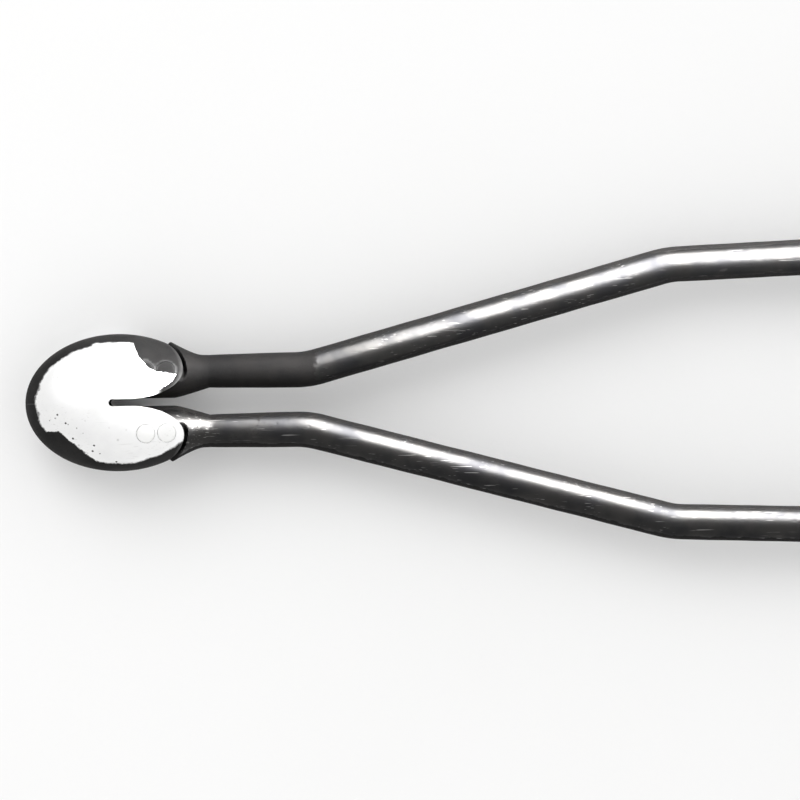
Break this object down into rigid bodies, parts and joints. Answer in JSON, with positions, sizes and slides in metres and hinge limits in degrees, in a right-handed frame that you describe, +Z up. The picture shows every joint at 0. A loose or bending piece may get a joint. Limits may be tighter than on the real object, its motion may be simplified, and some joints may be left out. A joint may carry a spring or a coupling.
{
  "type": "crucible tongs",
  "caption": "Spring-bow crucible tongs: round-rod arms splayed from a slit hollow bow, with curved jaw bands riveted to their flattened ends.",
  "frame": {"origin": "on the surface that the tongs lie on, below the middle of their length and midway between the arms", "axes": "+X from the bow to the jaws, +Y to the rear arm, +Z up"},
  "size_m": [0.508, 0.0996, 0.026],
  "materials": {
    "spring_steel": "bright, dressed and polished",
    "rod_steel": "drawn rod, dark forge scale at the bent root",
    "jaw_steel": "heat-darkened",
    "bow_rivet_steel": "countersunk and dressed flush",
    "jaw_rivet_steel": "button heads, heat-darkened"
  },
  "bodies": {
    "bow": {"spring_bow": "spring_steel"},
    "rear_half": {"rear_arm": "rod_steel", "rear_bow_rivet_1": "bow_rivet_steel", "rear_bow_rivet_2": "bow_rivet_steel", "rear_jaw": "jaw_steel", "rear_jaw_rivet_1": "jaw_rivet_steel", "rear_jaw_rivet_2": "jaw_rivet_steel"},
    "front_half": {"front_arm": "rod_steel", "front_bow_rivet_1": "bow_rivet_steel", "front_bow_rivet_2": "bow_rivet_steel", "front_jaw": "jaw_steel", "front_jaw_rivet_1": "jaw_rivet_steel", "front_jaw_rivet_2": "jaw_rivet_steel"}
  },
  "joints": [
    {"name": "rear_squeeze", "type": "hinge", "parent": "bow", "child": "rear_half", "pos_m": [-0.2354, 0, 0.013], "axis": [0, 0, -1], "range_deg": [0, 2.4], "stiffness_Nm_per_rad": 60, "deforming": ["spring_bow"]},
    {"name": "front_squeeze", "type": "hinge", "parent": "bow", "child": "front_half", "pos_m": [-0.2354, 0, 0.013], "axis": [0, 0, 1], "range_deg": [0, 2.4], "stiffness_Nm_per_rad": 60, "deforming": ["spring_bow"]}
  ],
  "couplings": [
    {"joint": "front_squeeze", "follows": "rear_squeeze", "ratio": 1}
  ]
}
